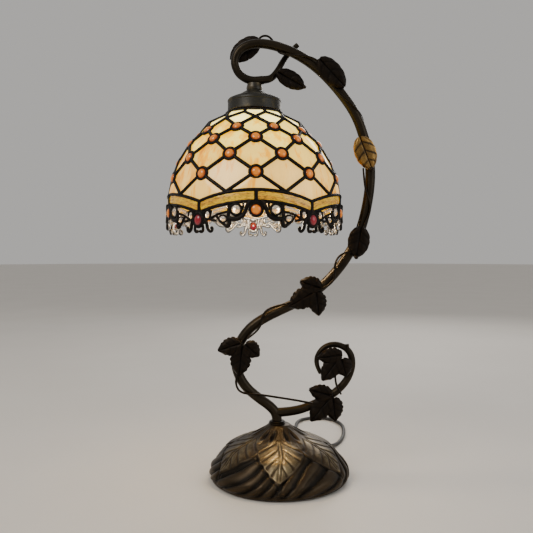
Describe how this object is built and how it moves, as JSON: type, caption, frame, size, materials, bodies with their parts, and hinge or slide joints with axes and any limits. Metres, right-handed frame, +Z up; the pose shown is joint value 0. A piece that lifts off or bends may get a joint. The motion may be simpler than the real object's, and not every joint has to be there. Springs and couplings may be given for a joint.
{
  "type": "stained glass table lamp",
  "caption": "Table lamp with a leaded art-glass dome shade hung from a curled bronze arm with vine leaves on a round leaf-cast base; plug-in lead.",
  "frame": {"origin": "middle of the base where it stands on the table", "axes": "+Z up, the arm's plane is XZ with the arm bowing to +X, the front is -Y"},
  "size_m": [0.2579, 0.3787, 0.549],
  "materials": {
    "cast_bronze": "antique bronze over a cast relief, gold rubbed on the high spots",
    "arm_bronze": "antique bronze, satin",
    "leaf_bronze": "dark antique bronze, satin",
    "vine_bronze": "dark antique bronze wire",
    "black_metal": "black satin paint",
    "black_came": "black patina on lead and solder",
    "raw_iron": "bare casting",
    "steel": "zinc plated",
    "felt": "black felt",
    "lead_plastic": "flexible vinyl sheath",
    "tie_plastic": "strap",
    "plug_plastic": "moulded vinyl",
    "contact_brass": "plain",
    "socket_brass": "satin",
    "black_phenolic": "moulded phenolic",
    "screw_aluminium": "rolled thread",
    "bulb_glass": "frosted, lit",
    "bulb_filament": "glowing",
    "cream_glass": "opalescent art glass with amber streaks",
    "gold_glass": "rippled gold art glass",
    "amber_glass": "pressed amber cabochon",
    "ruby_glass": "pressed ruby cabochon",
    "clear_glass": "pressed clear jewel"
  },
  "bodies": {
    "shade": {"amber_cabochons": "amber_glass", "border_glass": "gold_glass", "came_lattice": "black_came", "clear_jewels": "clear_glass", "glass_tier_1": "cream_glass", "glass_tier_2": "cream_glass", "glass_tier_3": "cream_glass", "glass_tier_4": "cream_glass", "glass_tier_5": "cream_glass", "glass_tier_6": "cream_glass", "glass_tier_7": "cream_glass", "heel_ring": "socket_brass", "ruby_cabochons": "ruby_glass", "scrollwork": "black_came"},
    "bulb": {"bulb_contact": "contact_brass", "bulb_filament": "bulb_filament", "bulb_globe": "bulb_glass", "bulb_insulator": "black_phenolic", "bulb_screw_base": "screw_aluminium"},
    "switch_knob": {"switch_knob": "black_phenolic"},
    "stand": {"arm_tube": "arm_bronze", "ballast_washer": "steel", "base_ballast": "raw_iron", "base_casting": "cast_bronze", "base_cover_plate": "steel", "branch": "arm_bronze", "cap_lock_nut": "steel", "collar_ring": "cast_bronze", "cord_bushing": "lead_plastic", "felt_pad": "felt", "ivy_branch": "leaf_bronze", "ivy_curl": "leaf_bronze", "ivy_left": "leaf_bronze", "ivy_middle": "leaf_bronze", "lead_coil": "lead_plastic", "lead_in_arm": "lead_plastic", "lead_tie": "tie_plastic", "lead_to_coil": "lead_plastic", "lead_to_plug": "lead_plastic", "leaf_arm_lower": "leaf_bronze", "leaf_arm_upper": "leaf_bronze", "leaf_hanging": "leaf_bronze", "leaf_loop_top": "leaf_bronze", "leaf_shoulder": "leaf_bronze", "loop_tail": "arm_bronze", "neck_coupling": "black_metal", "neck_nipple": "steel", "plate_screws": "steel", "plug_blades": "contact_brass", "plug_body": "plug_plastic", "retaining_ring": "black_phenolic", "shade_cap": "black_metal", "socket_contact": "contact_brass", "socket_core": "black_phenolic", "socket_screw_shell": "screw_aluminium", "socket_shell": "socket_brass", "stem_lock_nut": "steel", "stem_nipple": "steel", "vine_wires": "vine_bronze"}
  },
  "joints": [
    {"name": "shade_turn", "type": "hinge", "parent": "stand", "child": "shade", "pos_m": [-0.0305, 0, 0.4452], "axis": [0, 0, 1], "continuous": true},
    {"name": "bulb_turn", "type": "hinge", "parent": "stand", "child": "bulb", "pos_m": [-0.0305, 0, 0.405], "axis": [0, 0, -1], "range_deg": [0, 1080]},
    {"name": "switch_turn", "type": "hinge", "parent": "stand", "child": "switch_knob", "pos_m": [-0.0195, 0.01905, 0.433], "axis": [0.5, 0.866, 0], "continuous": true}
  ]
}
